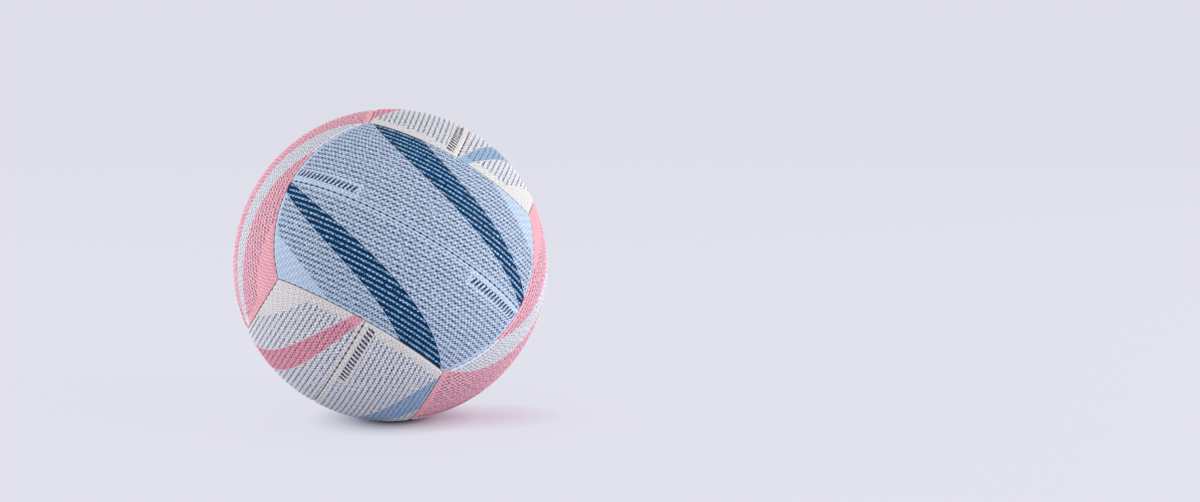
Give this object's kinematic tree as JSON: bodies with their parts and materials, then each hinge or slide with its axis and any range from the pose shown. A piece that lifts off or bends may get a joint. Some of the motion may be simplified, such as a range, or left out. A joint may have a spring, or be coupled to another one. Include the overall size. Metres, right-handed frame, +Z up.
{
  "type": "netball",
  "caption": "Hand-sewn netball with rubber strip panels in three colour pairs, cloth lining, bladder and needle valve.",
  "frame": {"origin": "centre of the ball", "axes": "+Z up as the ball rests on a floor; -Y towards the viewer, who faces the light blue front face; the valve points along +Y"},
  "size_m": [0.2228, 0.2228, 0.2228],
  "materials": {
    "cover_blue": "matte",
    "cover_pink": "matte",
    "cover_white": "matte",
    "lining_cloth": "matte",
    "seam_thread": "matte",
    "bladder_rubber": "satin",
    "valve_rubber": "satin"
  },
  "bodies": {
    "root": {"cover_blue_front_upper": "cover_blue", "cover_blue_front_lower": "cover_blue", "cover_blue_rear_lower": "cover_blue", "cover_blue_rear_upper": "cover_blue", "cover_pink_right_front": "cover_pink", "cover_pink_right_rear": "cover_pink", "cover_pink_left_rear": "cover_pink", "cover_pink_left_front": "cover_pink", "cover_white_top_right": "cover_white", "cover_white_top_left": "cover_white", "cover_white_bottom_left": "cover_white", "cover_white_bottom_right": "cover_white", "backing_blue_front_upper": "lining_cloth", "backing_blue_front_lower": "lining_cloth", "backing_blue_rear_lower": "lining_cloth", "backing_blue_rear_upper": "lining_cloth", "backing_pink_right_front": "lining_cloth", "backing_pink_right_rear": "lining_cloth", "backing_pink_left_rear": "lining_cloth", "backing_pink_left_front": "lining_cloth", "backing_white_top_right": "lining_cloth", "backing_white_top_left": "lining_cloth", "backing_white_bottom_left": "lining_cloth", "backing_white_bottom_right": "lining_cloth", "edge_thread_blue_front_upper": "seam_thread", "edge_thread_blue_front_lower": "seam_thread", "edge_thread_blue_rear_lower": "seam_thread", "edge_thread_blue_rear_upper": "seam_thread", "edge_thread_pink_right_front": "seam_thread", "edge_thread_pink_right_rear": "seam_thread", "edge_thread_pink_left_rear": "seam_thread", "edge_thread_pink_left_front": "seam_thread", "edge_thread_white_top_right": "seam_thread", "edge_thread_white_top_left": "seam_thread", "edge_thread_white_bottom_left": "seam_thread", "edge_thread_white_bottom_right": "seam_thread", "mid_thread_blue_front": "seam_thread", "mid_thread_blue_rear": "seam_thread", "mid_thread_pink_right": "seam_thread", "mid_thread_pink_left": "seam_thread", "mid_thread_white_top": "seam_thread", "mid_thread_white_bottom": "seam_thread", "bladder": "bladder_rubber", "balance_patch": "bladder_rubber", "valve_body": "valve_rubber", "valve_core": "valve_rubber"}
  },
  "joints": []
}
